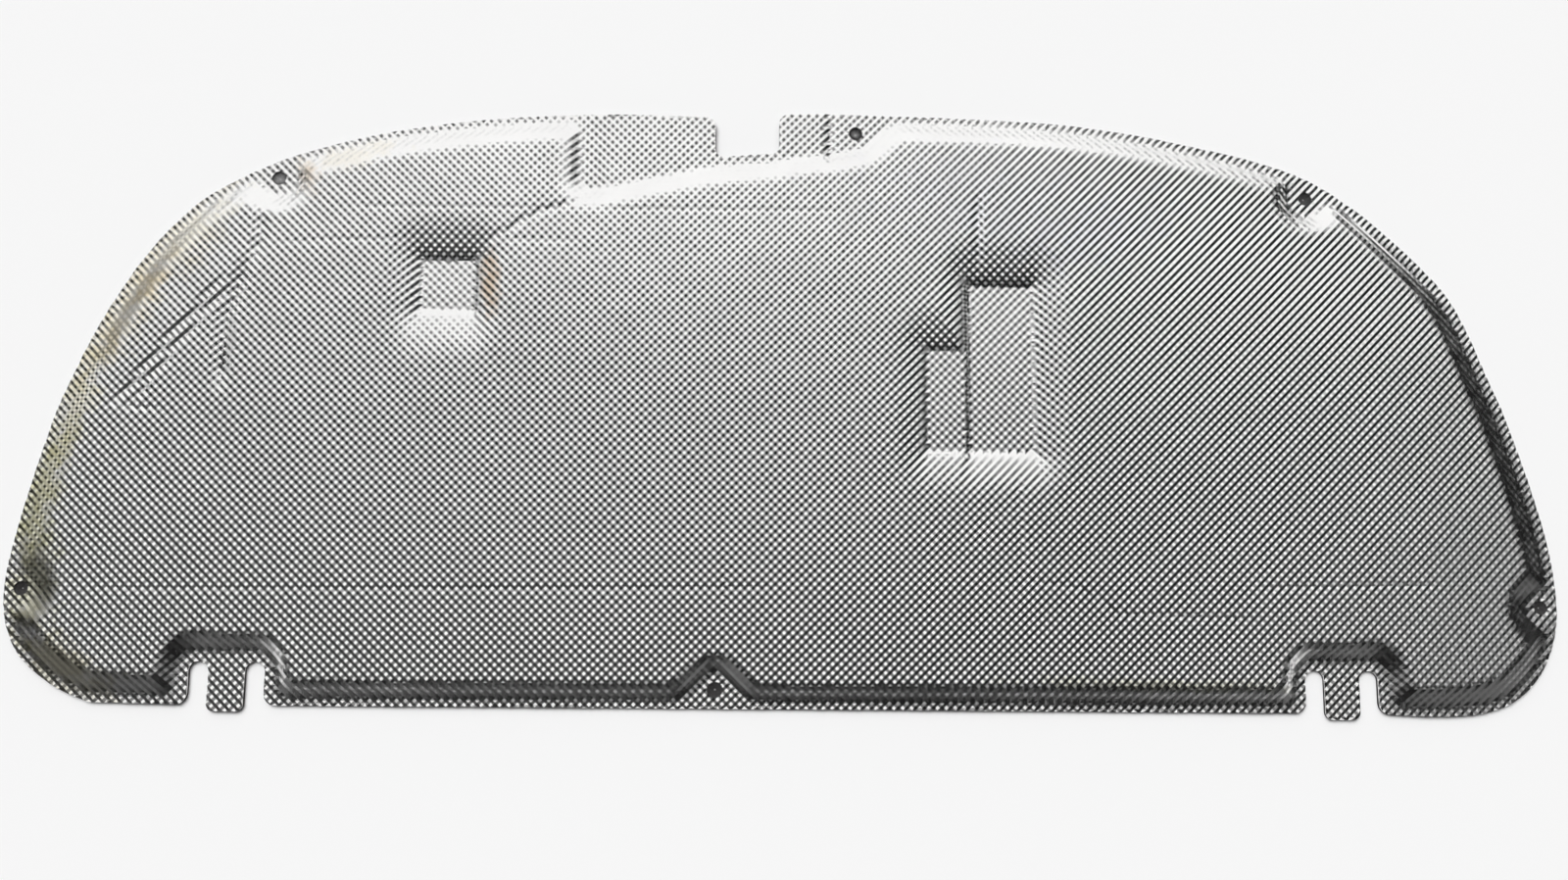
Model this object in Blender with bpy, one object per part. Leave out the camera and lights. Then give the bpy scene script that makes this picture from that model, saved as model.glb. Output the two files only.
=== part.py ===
# Hood insulation pad: one pressed fibre pad with an embossed foil face.
#
# The pad lies on its flat back with the foil face up. X runs across the vehicle,
# +Y points to the latch edge and Z is the thickness. All sizes are in metres, and
# the origin is at the middle of the outline, on the plane of the back.
#
# The face is one height over the plan: a thin rim, a wall that climbs from the rim
# to the thick field, seats where the wall steps back round clips, hinges and latch,
# and two pockets pressed down into the field.

import math

import bmesh
import bpy
import numpy as np
from mathutils import Vector
from mathutils.geometry import delaunay_2d_cdt

# Main sizes. The depth runs from the straight rear edge to the front edge, and the
# tabs of the forks reach past the rear edge.
PAD_WIDTH = 1.2590
PAD_DEPTH = 0.4985
TAB_REACH = 0.0050

# Thicknesses of the pressed pad
RIM_THICKNESS = 0.0030
FIELD_THICKNESS = 0.0095
FIELD_CROWN = 0.0010
CROWN_REACH = 0.1100

# Rim and wall seen in plan
RIM_WIDTH = 0.0080
WALL_RUN = 0.0180
WALL_ROUNDING = 2.0
SEAT_BLEND = 0.0060

# Places that move with the outline are shares: of half the width from the middle,
# and of the depth from the rear edge. These are the stations of the two long
# curved edges, from the rear right corner round to the notch and back to the rear.
RIGHT_EDGE = [
    (0.8181, -0.0045),
    (0.8832, -0.0005),
    (0.9309, 0.0176),
    (0.9658, 0.0537),
    (0.9884, 0.1028),
    (0.9984, 0.1499),
    (0.9998, 0.2001),
    (0.9948, 0.2669),
    (0.9817, 0.3445),
    (0.9639, 0.4250),
    (0.9439, 0.5050),
    (0.9255, 0.5632),
    (0.9039, 0.6354),
    (0.8815, 0.6926),
    (0.8521, 0.7395),
    (0.8038, 0.7997),
    (0.7549, 0.8515),
    (0.6937, 0.9002),
    (0.6195, 0.9323),
    (0.5156, 0.9614),
    (0.4485, 0.9764),
    (0.3544, 0.9905),
    (0.2469, 0.9965),
    (0.1128, 0.9993),
    (0.0461, 1.0000),
]
LEFT_EDGE = [
    (-0.1747, 0.9905),
    (-0.2383, 0.9909),
    (-0.2985, 0.9895),
    (-0.4148, 0.9780),
    (-0.5463, 0.9520),
    (-0.6195, 0.9283),
    (-0.6886, 0.8982),
    (-0.7612, 0.8509),
    (-0.7989, 0.8159),
    (-0.8523, 0.7383),
    (-0.8875, 0.6655),
    (-0.9142, 0.5993),
    (-0.9380, 0.5251),
    (-0.9531, 0.4729),
    (-0.9666, 0.4085),
    (-0.9817, 0.3271),
    (-0.9913, 0.2663),
    (-0.9990, 0.2055),
    (-0.9990, 0.1540),
    (-0.9906, 0.1110),
    (-0.9735, 0.0737),
    (-0.9460, 0.0426),
    (-0.9160, 0.0196),
    (-0.8832, 0.0035),
]
EDGE_STEP = 0.010
ARC_STEP = math.radians(22.5)

# Notch in the front edge that clears the latch. What sits at the front edge is
# placed by its drop, the distance behind the foremost point of that edge.
NOTCH_X = -0.0440
NOTCH_WIDTH = 0.0540
NOTCH_LEFT_FLOOR_DROP = 0.0403
NOTCH_RIGHT_FLOOR_DROP = 0.0358
NOTCH_LEFT_MOUTH_DROP = 0.0053
NOTCH_RIGHT_MOUTH_DROP = 0.0013
NOTCH_FLOOR_RADIUS = 0.0065
NOTCH_MOUTH_RADIUS = 0.0080

# Forks in the rear edge: a tab between two slots that grips a hinge bracket. What
# sits at the rear edge is placed by its rise, the distance in front of that edge.
FORK_SHARES = (-0.7153, 0.7091)
FORK_PITCH = 0.0444
SLOT_WIDTH = 0.0155
SLOT_CROWN_SHARE = 0.499
SLOT_RISE = 0.0343
SLOT_MOUTH_RADIUS = 0.0090
TAB_RADIUS = 0.0060

# Seat of a fork, where the rim widens inwards as a trapezoid
FORK_SEAT_RISE = 0.0433
FORK_SEAT_HALF_TOP = 0.0330
FORK_SEAT_HALF_FOOT = 0.0440
FORK_SEAT_RADIUS = 0.0080

# Clip holes: place as shares, bore radius, and radius of the flat seat round it
CLIP_HOLES = [
    (-0.6910, 0.8671, 0.0058, 0.0160),
    (0.0766, 0.9664, 0.0058, 0.0130),
    (0.6902, 0.8671, 0.0058, 0.0170),
    (-0.9793, 0.1806, 0.0056, 0.0135),
    (0.9786, 0.1740, 0.0056, 0.0135),
]
REAR_CLIP_HOLE = (-0.1009, 0.0302, 0.0064, 0.0130)
HOLE_SIDES = 24

# Gusset behind the rear clip hole, where the wall folds back to a point
GUSSET_RISE = 0.0338
GUSSET_HALF_FOOT = 0.0290
GUSSET_RADIUS = 0.0050

# Seat of the latch: x and drop of the corners of its wall's foot. The first and the
# last lie in front of the pad.
LATCH_SEAT = [
    (-0.1850, -0.0500),
    (-0.1850, 0.0748),
    (-0.0629, 0.0483),
    (0.0288, 0.0373),
    (0.0560, 0.0303),
    (0.0790, 0.0098),
    (0.0900, -0.0500),
]
LATCH_SEAT_RADIUS = 0.0100

# Raised plate of the latch seat round the notch, which steps down to the clip side:
# the x of its two sides, its rise, and the runs of its left and right steps
PLATE_LEFT_X = -0.1605
PLATE_RIGHT_X = 0.0245
PLATE_RISE = 0.0012
PLATE_LEFT_RUN = 0.0100
PLATE_RIGHT_RUN = 0.0040

# Pockets: the floor's middle and size, its depth, and the runs of the walls at
# its left, right, rear and front
LEFT_POCKET = {
    "middle": (-0.2906, 0.0962),
    "size": (0.0430, 0.0420),
    "depth": 0.0066,
    "runs": (0.0260, 0.0220, 0.0275, 0.0305),
}
RIGHT_POCKET = {
    "middle": (0.1706, 0.0330),
    "size": (0.0530, 0.1400),
    "depth": 0.0066,
    "runs": (0.0200, 0.0210, 0.0240, 0.0300),
}
POCKET_CORNER_POWER = 5.0
POCKET_FLOOR_RADIUS = 0.0010
POCKET_BRIM_RADIUS = 0.0040

# Shelf beside the right pocket, at a lesser depth
SHELF_WIDTH = 0.0360
SHELF_LENGTH = 0.0840
SHELF_DEPTH = 0.0044

# How finely the face is divided
SAMPLE_STEP = 0.005
ROW_STEP = 0.004
ROW_TOLERANCE = 0.00022
ROW_LONGEST = 0.040
FIELD_STEP = 0.036
FIELD_CLEARANCE = 0.009
POCKET_CLEAR_SPREAD = 1.5
WALL_ROWS = (0.0, 0.2, 0.4, 0.6, 0.8, 1.0)
POINT_MERGE = 0.00005
SHORTEST_LOOP = 12
BACK_ANGLE = math.radians(1.0)
SHARP_ANGLE = math.radians(30.0)

# Look of the foil in the CAD
FOIL_COLOUR = (0.62, 0.62, 0.63, 1.0)
FOIL_ROUGHNESS = 0.38


def clear_scene():
    """Remove every object, so that the script gives the same file each run."""
    for item in list(bpy.data.objects):
        bpy.data.objects.remove(item, do_unlink=True)


def new_collection(name):
    """Make a collection in the scene."""
    group = bpy.data.collections.new(name)
    bpy.context.scene.collection.children.link(group)
    return group


def smooth_curve(stations, step):
    """Points along a centripetal Catmull-Rom curve through the stations."""
    knots = np.array(stations, dtype=float)
    before = 2.0 * knots[0] - knots[1]
    after = 2.0 * knots[-1] - knots[-2]
    knots = np.vstack([before, knots, after])
    points = []
    for i in range(1, len(knots) - 2):
        p0, p1, p2, p3 = knots[i - 1:i + 3]
        t1 = math.sqrt(np.linalg.norm(p1 - p0))
        t2 = t1 + math.sqrt(np.linalg.norm(p2 - p1))
        t3 = t2 + math.sqrt(np.linalg.norm(p3 - p2))
        count = max(2, round(np.linalg.norm(p2 - p1) / step))
        for t in np.linspace(t1, t2, count, endpoint=False):
            a1 = (t1 - t) / t1 * p0 + t / t1 * p1
            a2 = (t2 - t) / (t2 - t1) * p1 + (t - t1) / (t2 - t1) * p2
            a3 = (t3 - t) / (t3 - t2) * p2 + (t - t2) / (t3 - t2) * p3
            b1 = (t2 - t) / t2 * a1 + t / t2 * a2
            b2 = (t3 - t) / (t3 - t1) * a2 + (t - t1) / (t3 - t1) * a3
            points.append((t2 - t) / (t2 - t1) * b1 + (t - t1) / (t2 - t1) * b2)
    points.append(knots[-2])
    return [tuple(point) for point in points]


def rounded_corner(before, corner, after, radius):
    """Points of the arc that rounds a corner, or the corner itself."""
    corner = np.array(corner)
    to_before = np.array(before) - corner
    to_after = np.array(after) - corner
    to_before = to_before / np.linalg.norm(to_before)
    to_after = to_after / np.linalg.norm(to_after)
    half_angle = 0.5 * math.acos(max(-1.0, min(1.0, float(to_before @ to_after))))
    centre = corner + (to_before + to_after) / np.linalg.norm(to_before + to_after) * (
        radius / math.sin(half_angle))
    start = corner + to_before * radius / math.tan(half_angle) - centre
    end = corner + to_after * radius / math.tan(half_angle) - centre
    turn = math.atan2(start[0] * end[1] - start[1] * end[0], float(start @ end))
    count = max(2, math.ceil(abs(turn) / ARC_STEP))
    points = []
    for i in range(count + 1):
        angle = turn * i / count
        x = start[0] * math.cos(angle) - start[1] * math.sin(angle)
        y = start[0] * math.sin(angle) + start[1] * math.cos(angle)
        points.append((centre[0] + x, centre[1] + y))
    return points


def rounded_path(corners, closed=False):
    """Points along straight runs whose corners, given as x, y, radius, are rounded."""
    points = []
    last = len(corners) - 1
    for i, (x, y, radius) in enumerate(corners):
        inner = closed or 0 < i < last
        if inner and radius > 0.0:
            before = corners[i - 1][:2]
            after = corners[(i + 1) % len(corners)][:2]
            points.extend(rounded_corner(before, (x, y), after, radius))
        else:
            points.append((x, y))
    return points


def rear_y():
    """Y of the straight rear edge, with the whole pad centred on the origin."""
    return 0.5 * (TAB_REACH - PAD_DEPTH)


def front_y(drop):
    """Y of a place behind the foremost point of the front edge."""
    return rear_y() + PAD_DEPTH - drop


def placed(share_x, share_y):
    """Place in the plan from its shares of half the width and of the depth."""
    return 0.5 * PAD_WIDTH * share_x, rear_y() + PAD_DEPTH * share_y


def clip_holes():
    """Place, bore radius and seat radius of every clip hole."""
    return [(*placed(x, y), bore, seat) for x, y, bore, seat in CLIP_HOLES + [REAR_CLIP_HOLE]]


def fork_corners(middle):
    """Corners of one fork, from left to right along the rear edge."""
    edge_y = rear_y()
    slot_y = edge_y + SLOT_RISE
    tip_y = edge_y - TAB_REACH
    tab_half = 0.5 * (FORK_PITCH - SLOT_WIDTH)
    slot_half = tab_half + SLOT_WIDTH
    crown = SLOT_CROWN_SHARE * SLOT_WIDTH
    return [
        (middle - slot_half, edge_y, SLOT_MOUTH_RADIUS),
        (middle - slot_half, slot_y, crown),
        (middle - tab_half, slot_y, crown),
        (middle - tab_half, tip_y, TAB_RADIUS),
        (middle + tab_half, tip_y, TAB_RADIUS),
        (middle + tab_half, slot_y, crown),
        (middle + slot_half, slot_y, crown),
        (middle + slot_half, edge_y, SLOT_MOUTH_RADIUS),
    ]


def notch_corners():
    """Corners of the latch notch, from right to left along the front edge."""
    left = NOTCH_X - 0.5 * NOTCH_WIDTH
    right = NOTCH_X + 0.5 * NOTCH_WIDTH
    return [
        (right, front_y(NOTCH_RIGHT_MOUTH_DROP), NOTCH_MOUTH_RADIUS),
        (right, front_y(NOTCH_RIGHT_FLOOR_DROP), NOTCH_FLOOR_RADIUS),
        (left, front_y(NOTCH_LEFT_FLOOR_DROP), NOTCH_FLOOR_RADIUS),
        (left, front_y(NOTCH_LEFT_MOUTH_DROP), NOTCH_MOUTH_RADIUS),
    ]


def outline():
    """Closed outline of the pad, counter-clockwise, as an array of x, y."""
    right_edge = [placed(*station) for station in RIGHT_EDGE]
    left_edge = [placed(*station) for station in LEFT_EDGE]
    rear = [(*left_edge[-1], 0.0)]
    for share in FORK_SHARES:
        rear.extend(fork_corners(placed(share, 0.0)[0]))
    rear.append((*right_edge[0], 0.0))
    front = [(*right_edge[-1], 0.0)] + notch_corners() + [(*left_edge[0], 0.0)]
    points = rounded_path(rear)[:-1]
    points += smooth_curve(right_edge, EDGE_STEP)[:-1]
    points += rounded_path(front)[:-1]
    points += smooth_curve(left_edge, EDGE_STEP)[:-1]
    return np.array(points)


def signed_distance(points, loop):
    """Distance from each point to a closed loop, positive inside it."""
    nearest = np.full(len(points), np.inf)
    inside = np.zeros(len(points), dtype=bool)
    for start, end in zip(loop, np.roll(loop, -1, axis=0)):
        run = end - start
        share = np.clip((points - start) @ run / (run @ run), 0.0, 1.0)
        gap = points - start - share[:, None] * run
        nearest = np.minimum(nearest, np.einsum("ij,ij->i", gap, gap))
        crosses = (start[1] > points[:, 1]) != (end[1] > points[:, 1])
        if run[1] != 0.0:
            x_cross = start[0] + (points[:, 1] - start[1]) * run[0] / run[1]
            inside ^= crosses & (points[:, 0] < x_cross)
    return np.where(inside, 1.0, -1.0) * np.sqrt(nearest)


def soft_minimum(first, second, blend):
    """Smaller of two distances, with the crease between them rounded."""
    share = np.clip(0.5 + 0.5 * (second - first) / blend, 0.0, 1.0)
    return second * (1.0 - share) + first * share - blend * share * (1.0 - share)


def seat_loops():
    """Closed foot loops of the seats that are not round."""
    edge_y = rear_y()
    loops = []
    for share in FORK_SHARES:
        middle = placed(share, 0.0)[0]
        loops.append([
            (middle - FORK_SEAT_HALF_FOOT, edge_y, 0.0),
            (middle + FORK_SEAT_HALF_FOOT, edge_y, 0.0),
            (middle + FORK_SEAT_HALF_TOP, edge_y + FORK_SEAT_RISE, FORK_SEAT_RADIUS),
            (middle - FORK_SEAT_HALF_TOP, edge_y + FORK_SEAT_RISE, FORK_SEAT_RADIUS),
        ])
    gusset_x = placed(*REAR_CLIP_HOLE[:2])[0]
    loops.append([
        (gusset_x - GUSSET_HALF_FOOT, edge_y + RIM_WIDTH, 0.0),
        (gusset_x + GUSSET_HALF_FOOT, edge_y + RIM_WIDTH, 0.0),
        (gusset_x, edge_y + GUSSET_RISE, GUSSET_RADIUS),
    ])
    loops.append([(x, front_y(drop), LATCH_SEAT_RADIUS) for x, drop in LATCH_SEAT])
    return [np.array(rounded_path(loop, closed=True)) for loop in loops]


def field_inset(points, edge):
    """Distance from each point to the foot of the field's wall, positive uphill."""
    inset = signed_distance(points, edge) - RIM_WIDTH
    for x, y, _, seat in clip_holes():
        inset = soft_minimum(inset, np.hypot(points[:, 0] - x, points[:, 1] - y) - seat, SEAT_BLEND)
    for loop in seat_loops():
        inset = soft_minimum(inset, -signed_distance(points, loop), SEAT_BLEND)
    return inset


def ease(share):
    """Smooth S from 0 to 1."""
    share = np.clip(share, 0.0, 1.0)
    return share * share * (3.0 - 2.0 * share)


def rolled_up(share):
    """Climb of a pressed wall from 0 to 1: steepest at its foot and rounded over at its top."""
    return 1.0 - (1.0 - np.clip(share, 0.0, 1.0)) ** WALL_ROUNDING


def spread_from_floor(points, pocket):
    """How far each point lies out of a pocket's floor: 0 on the floor, 1 at the brim."""
    across = points[:, 0] - pocket["middle"][0]
    along = points[:, 1] - pocket["middle"][1]
    half_x = 0.5 * pocket["size"][0]
    half_y = 0.5 * pocket["size"][1]
    left, right, rear, front = pocket["runs"]
    shares = [
        (-across - half_x) / left,
        (across - half_x) / right,
        (-along - half_y) / rear,
        (along - half_y) / front,
    ]
    total = sum(np.maximum(share, 0.0) ** POCKET_CORNER_POWER for share in shares)
    return total ** (1.0 / POCKET_CORNER_POWER)


def shelf_pocket():
    """The shelf as a pocket of its own, whose right part lies in the deep pocket."""
    deep_x, deep_y = RIGHT_POCKET["middle"]
    deep_width, deep_length = RIGHT_POCKET["size"]
    left, right, rear, front = RIGHT_POCKET["runs"]
    width = SHELF_WIDTH + 0.5 * deep_width
    return {
        "middle": (deep_x - 0.5 * width, deep_y - 0.5 * (deep_length - SHELF_LENGTH)),
        "size": (width, SHELF_LENGTH),
        "depth": SHELF_DEPTH,
        "runs": (left, left, rear, front),
    }


def pockets():
    """Every pocket that is pressed into the field."""
    return [LEFT_POCKET, RIGHT_POCKET, shelf_pocket()]


def plate_rise(points):
    """Extra height of the raised plate in the latch seat."""
    left_step = ease(1.0 + (points[:, 0] - PLATE_LEFT_X) / PLATE_LEFT_RUN)
    right_step = ease(1.0 - (points[:, 0] - PLATE_RIGHT_X) / PLATE_RIGHT_RUN)
    in_seat = points[:, 1] > front_y(LATCH_SEAT[1][1])
    return PLATE_RISE * left_step * right_step * in_seat


def face_height(points, edge):
    """Height of the foil face over the flat back."""
    inset = field_inset(points, edge)
    climb = rolled_up(inset / WALL_RUN)
    height = RIM_THICKNESS + (FIELD_THICKNESS - RIM_THICKNESS) * climb
    height += FIELD_CROWN * np.sin(0.5 * math.pi * np.clip((inset - WALL_RUN) / CROWN_REACH, 0.0, 1.0))
    drop = np.zeros(len(points))
    for pocket in pockets():
        climb_out = rolled_up(spread_from_floor(points, pocket))
        drop = np.maximum(drop, pocket["depth"] * (1.0 - climb_out))
    return height - drop + plate_rise(points) * (1.0 - climb)


def simplified(loop, tolerance):
    """Loop without the points that stay within a tolerance of a straight run."""
    kept = [0]
    start = 0
    count = len(loop)
    while start < count:
        end = start + 1
        while end < count:
            chord = loop[(end + 1) % count] - loop[start]
            length = np.linalg.norm(chord)
            between = loop[start + 1:end + 1] - loop[start]
            offsets = np.abs(between[:, 0] * chord[1] - between[:, 1] * chord[0]) / length
            if length > ROW_LONGEST or offsets.max() > tolerance:
                break
            end += 1
        if end < count:
            kept.append(end)
        start = end
    return loop[kept]


def evenly_spaced(loop, step):
    """Loop walked again with steps of one length."""
    closed = np.vstack([loop, loop[:1]])
    lengths = np.linalg.norm(np.diff(closed, axis=0), axis=1)
    reached = np.concatenate([[0.0], np.cumsum(lengths)])
    count = max(SHORTEST_LOOP, round(reached[-1] / step))
    at = np.linspace(0.0, reached[-1], count, endpoint=False)
    x = np.interp(at, reached, closed[:, 0])
    y = np.interp(at, reached, closed[:, 1])
    return np.column_stack([x, y])


def level_loops(terrain, level):
    """Closed contour loops of a terrain mesh at one level."""
    cut = terrain.copy()
    geometry = cut.verts[:] + cut.edges[:] + cut.faces[:]
    bmesh.ops.bisect_plane(cut, geom=geometry, plane_co=(0.0, 0.0, level),
                           plane_no=(0.0, 0.0, 1.0), clear_inner=True, clear_outer=True)
    loops = []
    walked = set()
    for first in sorted(cut.verts, key=lambda vertex: (vertex.co.x, vertex.co.y)):
        if first in walked or len(first.link_edges) != 2:
            continue
        walk = [first]
        walked.add(first)
        edge = max(first.link_edges, key=lambda other: other.other_vert(first).co.y)
        vertex = edge.other_vert(first)
        while vertex not in walked and len(vertex.link_edges) == 2:
            walked.add(vertex)
            walk.append(vertex)
            edge = next(other for other in vertex.link_edges if other != edge)
            vertex = edge.other_vert(vertex)
        if vertex == first and len(walk) >= SHORTEST_LOOP:
            loops.append(np.array([(v.co.x, v.co.y) for v in walk]))
    cut.free()
    return loops


def inset_terrain(edge):
    """Grid mesh over the outline whose height is the inset of the field."""
    low = edge.min(axis=0)
    high = edge.max(axis=0)
    columns, rows = (np.ceil((high - low) / SAMPLE_STEP).astype(int))
    terrain = bmesh.new()
    middle = 0.5 * (low + high)
    bmesh.ops.create_grid(terrain, x_segments=int(columns), y_segments=int(rows), size=0.5)
    size = high - low
    plan = np.array([(v.co.x, v.co.y) for v in terrain.verts]) * size + middle
    heights = field_inset(plan, edge)
    for vertex, (x, y), z in zip(terrain.verts, plan, heights):
        vertex.co = Vector((x, y, z))
    return terrain


def pocket_row(pocket, share):
    """Closed row round a pocket, at a share of its walls' runs."""
    half = 0.5 * np.array(pocket["size"])
    left, right, rear, front = pocket["runs"]
    low = pocket["middle"] - half - share * np.array([left, rear])
    high = pocket["middle"] + half + share * np.array([right, front])
    radius = POCKET_FLOOR_RADIUS + share * (POCKET_BRIM_RADIUS - POCKET_FLOOR_RADIUS)
    corners = [(low[0], low[1], radius), (high[0], low[1], radius),
               (high[0], high[1], radius), (low[0], high[1], radius)]
    return np.array(rounded_path(corners, closed=True))


def plate_rows():
    """Closed rows round the left and the right step of the latch seat's plate."""
    rows = []
    for low_x, high_x in ((PLATE_LEFT_X - PLATE_LEFT_RUN, PLATE_LEFT_X),
                          (PLATE_RIGHT_X, PLATE_RIGHT_X + PLATE_RIGHT_RUN)):
        low_y = front_y(LATCH_SEAT[1][1])
        high_y = front_y(-RIM_WIDTH)
        rows.append(np.array([(low_x, low_y), (high_x, low_y), (high_x, high_y), (low_x, high_y)]))
    return rows


def hole_loop(x, y, radius):
    """Closed round loop of a clip hole."""
    angles = [2.0 * math.pi * i / HOLE_SIDES for i in range(HOLE_SIDES)]
    return np.array([(x + radius * math.cos(a), y + radius * math.sin(a)) for a in angles])


def face_rows(edge):
    """Every closed row that the face's mesh follows."""
    rows = [edge]
    rows += [hole_loop(x, y, bore) for x, y, bore, _ in clip_holes()]
    terrain = inset_terrain(edge)
    for share in WALL_ROWS:
        for loop in level_loops(terrain, share * WALL_RUN + POINT_MERGE):
            rows.append(simplified(evenly_spaced(loop, ROW_STEP), ROW_TOLERANCE))
    terrain.free()
    rows += [pocket_row(pocket, share) for pocket in pockets() for share in WALL_ROWS]
    return rows + plate_rows()


def field_points(edge):
    """Loose points that keep the field's triangles from growing long."""
    low = edge.min(axis=0)
    high = edge.max(axis=0)
    xs = np.arange(low[0], high[0], FIELD_STEP)
    ys = np.arange(low[1], high[1], FIELD_STEP)
    grid = np.array([(x, y) for x in xs for y in ys])
    clear = field_inset(grid, edge) > WALL_RUN + FIELD_CLEARANCE
    for pocket in pockets():
        clear &= spread_from_floor(grid, pocket) > POCKET_CLEAR_SPREAD
    return grid[clear]


def inside_holes(point):
    """Whether a point of the plan lies in a clip hole."""
    return any(math.hypot(point[0] - x, point[1] - y) < bore for x, y, bore, _ in clip_holes())


def face_mesh(edge):
    """Flat mesh of the face whose edges follow the rows."""
    points = []
    links = []
    for row in face_rows(edge):
        first = len(points)
        points.extend(Vector(point) for point in row)
        count = len(row)
        links.extend((first + i, first + (i + 1) % count) for i in range(count))
    points.extend(Vector(point) for point in field_points(edge))
    corners, _, faces, _, _, _ = delaunay_2d_cdt(points, links, [], 0, POINT_MERGE)
    plan = np.array([(corner.x, corner.y) for corner in corners])
    middles = np.array([plan[list(face)].mean(axis=0) for face in faces])
    kept = signed_distance(middles, edge) > 0.0
    mesh = bmesh.new()
    vertices = [mesh.verts.new((x, y, 0.0)) for x, y in plan]
    for face, middle, keep in zip(faces, middles, kept):
        if keep and not inside_holes(middle):
            mesh.faces.new([vertices[i] for i in face])
    bmesh.ops.delete(mesh, geom=[v for v in mesh.verts if not v.link_faces], context="VERTS")
    return mesh


def pad_mesh():
    """Solid mesh of the pad: the face raised over a flat back."""
    edge = outline()
    mesh = face_mesh(edge)
    face = mesh.faces[:]
    raised = bmesh.ops.extrude_face_region(mesh, geom=face)["geom"]
    top = [item for item in raised if isinstance(item, bmesh.types.BMVert)]
    heights = face_height(np.array([(v.co.x, v.co.y) for v in top]), edge)
    for vertex, z in zip(top, heights):
        vertex.co.z = z
    bmesh.ops.recalc_face_normals(mesh, faces=mesh.faces[:])
    flatten_back(mesh)
    return mesh


def flatten_back(mesh):
    """Merge the back's faces and divide them again with as few as they need."""
    vertices = [vertex for vertex in mesh.verts if abs(vertex.co.z) < POINT_MERGE]
    edges = [edge for edge in mesh.edges if all(abs(v.co.z) < POINT_MERGE for v in edge.verts)]
    bmesh.ops.dissolve_limit(mesh, angle_limit=BACK_ANGLE, use_dissolve_boundaries=False,
                             verts=vertices, edges=edges)
    bmesh.ops.triangulate(mesh, faces=mesh.faces[:])


def foil_material():
    """Bright aluminium foil."""
    material = bpy.data.materials.new("foil")
    material.use_nodes = True
    shader = material.node_tree.nodes["Principled BSDF"]
    shader.inputs["Base Color"].default_value = FOIL_COLOUR
    shader.inputs["Metallic"].default_value = 1.0
    shader.inputs["Roughness"].default_value = FOIL_ROUGHNESS
    material.diffuse_color = FOIL_COLOUR
    return material


def build():
    """Build the pad in a collection of its own."""
    clear_scene()
    parts = new_collection("hood_insulation_pad")
    mesh = pad_mesh()
    data = bpy.data.meshes.new("insulation_pad")
    mesh.to_mesh(data)
    mesh.free()
    data.shade_smooth()
    data.set_sharp_from_angle(angle=SHARP_ANGLE)
    data.materials.append(foil_material())
    pad = bpy.data.objects.new("insulation_pad", data)
    parts.objects.link(pad)


build()
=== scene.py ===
# Looks of the hood insulation pad: an embossed aluminium foil over dark pressed felt,
# foil face up on a pale floor. Everything is in metres, in the frame of the CAD: X runs
# across the vehicle, +Y points to the latch edge and Z is the thickness.

import math

import bmesh
import bpy
import numpy as np
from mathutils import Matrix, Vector, noise
from mathutils.bvhtree import BVHTree
from mathutils.geometry import delaunay_2d_cdt


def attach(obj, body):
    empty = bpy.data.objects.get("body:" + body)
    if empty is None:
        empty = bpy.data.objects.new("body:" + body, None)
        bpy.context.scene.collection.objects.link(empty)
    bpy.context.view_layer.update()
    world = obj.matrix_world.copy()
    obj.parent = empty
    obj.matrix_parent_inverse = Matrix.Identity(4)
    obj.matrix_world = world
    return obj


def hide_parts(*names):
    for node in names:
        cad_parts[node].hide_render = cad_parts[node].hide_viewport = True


PAD_NODE = "insulation_pad"
MERGE = 2e-6

# Up part of a normal, below which a face of the CAD is an upright wall and above which it
# is a face or, turned down, the back
WALL_LIFT = 0.2
FACE_LIFT = 0.5

# Emboss of the foil: an egg-crate lattice, whose peaks and valleys lie at whole cells
# and whose four slopes in a cell face along X and Y. Its rise is that of each of its two
# waves, and its spread is how much that varies over patches of the given length.
EMBOSS_SIDE = 0.0050
EMBOSS_TURN = math.radians(45.62)
EMBOSS_RISE = 0.00025
EMBOSS_SPREAD = 0.16
EMBOSS_PATCH = 0.007
EMBOSS_LAYER = 3.0

# Share of the emboss left on the walls: at the rear, at the front from the y given, at the
# sides ahead of the y given, and where the left side is slack
WALL_EMBOSS = 0.30
FRONT_EMBOSS = 0.50
FRONT_FROM = (0.04, 0.12)
SIDE_EMBOSS = 0.16
SIDE_PAST = (-0.210, -0.175)
SLACK_EMBOSS = 0.95

# Step between nodes of the lattice, and how far they keep off a cut
NODE_STEP = 0.5 * EMBOSS_SIDE
EDGE_CLEAR = 0.0009

# How the CAD's face is eased into one skin: the slope that makes a wall, how many nodes
# round it stay with it, and how often walls and field are smoothed
STEEP_SLOPE = 0.09
STEEP_REACH = 3
WALL_ROUNDS = 2
FIELD_ROUNDS = 60

# Walls at the sides and the rear: the CAD's rim and rise, the share of the run in which
# they climb at the rear and at the sides, how far the sides sag, and where each holds
RIM_HEIGHT = 0.0030
WALL_RISE = 0.0065
WALL_REACH = (0.60, 0.90)
SIDE_SAG = 0.0010
SIDE_FROM = (0.42, 0.56)
PLAIN_FROM = (0.10, 0.16)

# Slack left side, where the wall has sagged: x and y where it starts and is full from the
# middle, the front and the rear, how far off the cut edge it keeps and how often it is eased
SLACK_X = (-0.42, -0.50)
SLACK_FRONT = (0.070, 0.010)
SLACK_REAR = (-0.180, -0.110)
SLACK_CLEAR = (0.003, 0.007)
SLACK_ROUNDS = 16

# Pockets: the boxes that the CAD's pockets fill and the width of the ring round each that
# gives the field's form there
POCKET_BOXES = (
    (-0.3400, 0.0450, -0.2450, 0.1500),
    (0.0860, -0.0630, 0.2200, 0.1350),
)
POCKET_RING = 0.010

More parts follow.
